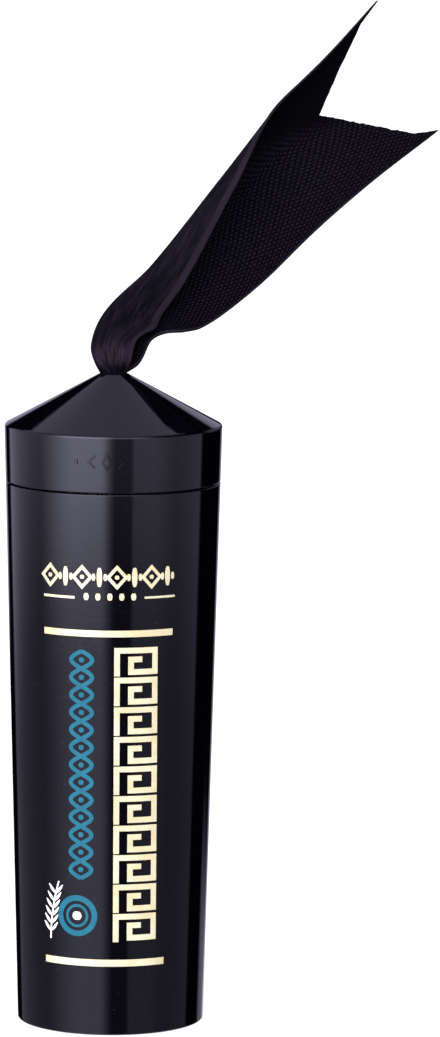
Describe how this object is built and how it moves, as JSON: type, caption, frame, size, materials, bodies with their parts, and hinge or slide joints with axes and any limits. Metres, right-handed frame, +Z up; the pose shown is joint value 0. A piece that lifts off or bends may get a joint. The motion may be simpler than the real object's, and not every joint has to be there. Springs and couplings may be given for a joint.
{
  "type": "kohl container",
  "caption": "Tapered gloss case with a conical, ribboned head. The head lifts out a metal sleeve and turns in it to wind a kohl stick in and out.",
  "frame": {"origin": "centre of the case's flat foot ring, on the surface that it stands on", "axes": "+Z up along the case's axis of turning; the ribbon leans towards +X, and the picture looks along +Y"},
  "size_m": [0.0461, 0.0394, 0.1076],
  "materials": {
    "lacquer_black": "mirror gloss",
    "liner_black": "fine matt",
    "label_film": "satin",
    "sleeve_gold": "satin anodised",
    "mechanism_white": "natural",
    "carrier_black": "natural",
    "ring_rubber": "matt",
    "kohl": "waxy",
    "satin": "satin weave"
  },
  "bodies": {
    "case": {"case_shell": "lacquer_black", "case_liner": "liner_black", "base_label": "label_film"},
    "sleeve": {"outer_sleeve": "sleeve_gold", "cam_sleeve": "mechanism_white"},
    "head": {"head_shell": "lacquer_black", "head_insert": "liner_black", "guide_tube": "mechanism_white", "torque_ring": "ring_rubber", "knot_washer": "mechanism_white", "ribbon_knot": "satin", "ribbon": "satin"},
    "carrier": {"carrier_cup": "carrier_black", "kohl_stick": "kohl"}
  },
  "joints": [
    {"name": "sleeve_lift", "type": "slide", "parent": "case", "child": "sleeve", "axis": [0, 0, 1], "range_m": [0, 0.07]},
    {"name": "head_turn", "type": "hinge", "parent": "sleeve", "child": "head", "pos_m": [0, 0, 0.0576], "axis": [0, 0, -1], "range_deg": [0, 540]},
    {"name": "carrier_slide", "type": "slide", "parent": "head", "child": "carrier", "axis": [0, 0, -1], "range_m": [0, 0.015]}
  ],
  "couplings": [
    {"joint": "carrier_slide", "follows": "head_turn", "m_per_rad": 0.0015915}
  ]
}
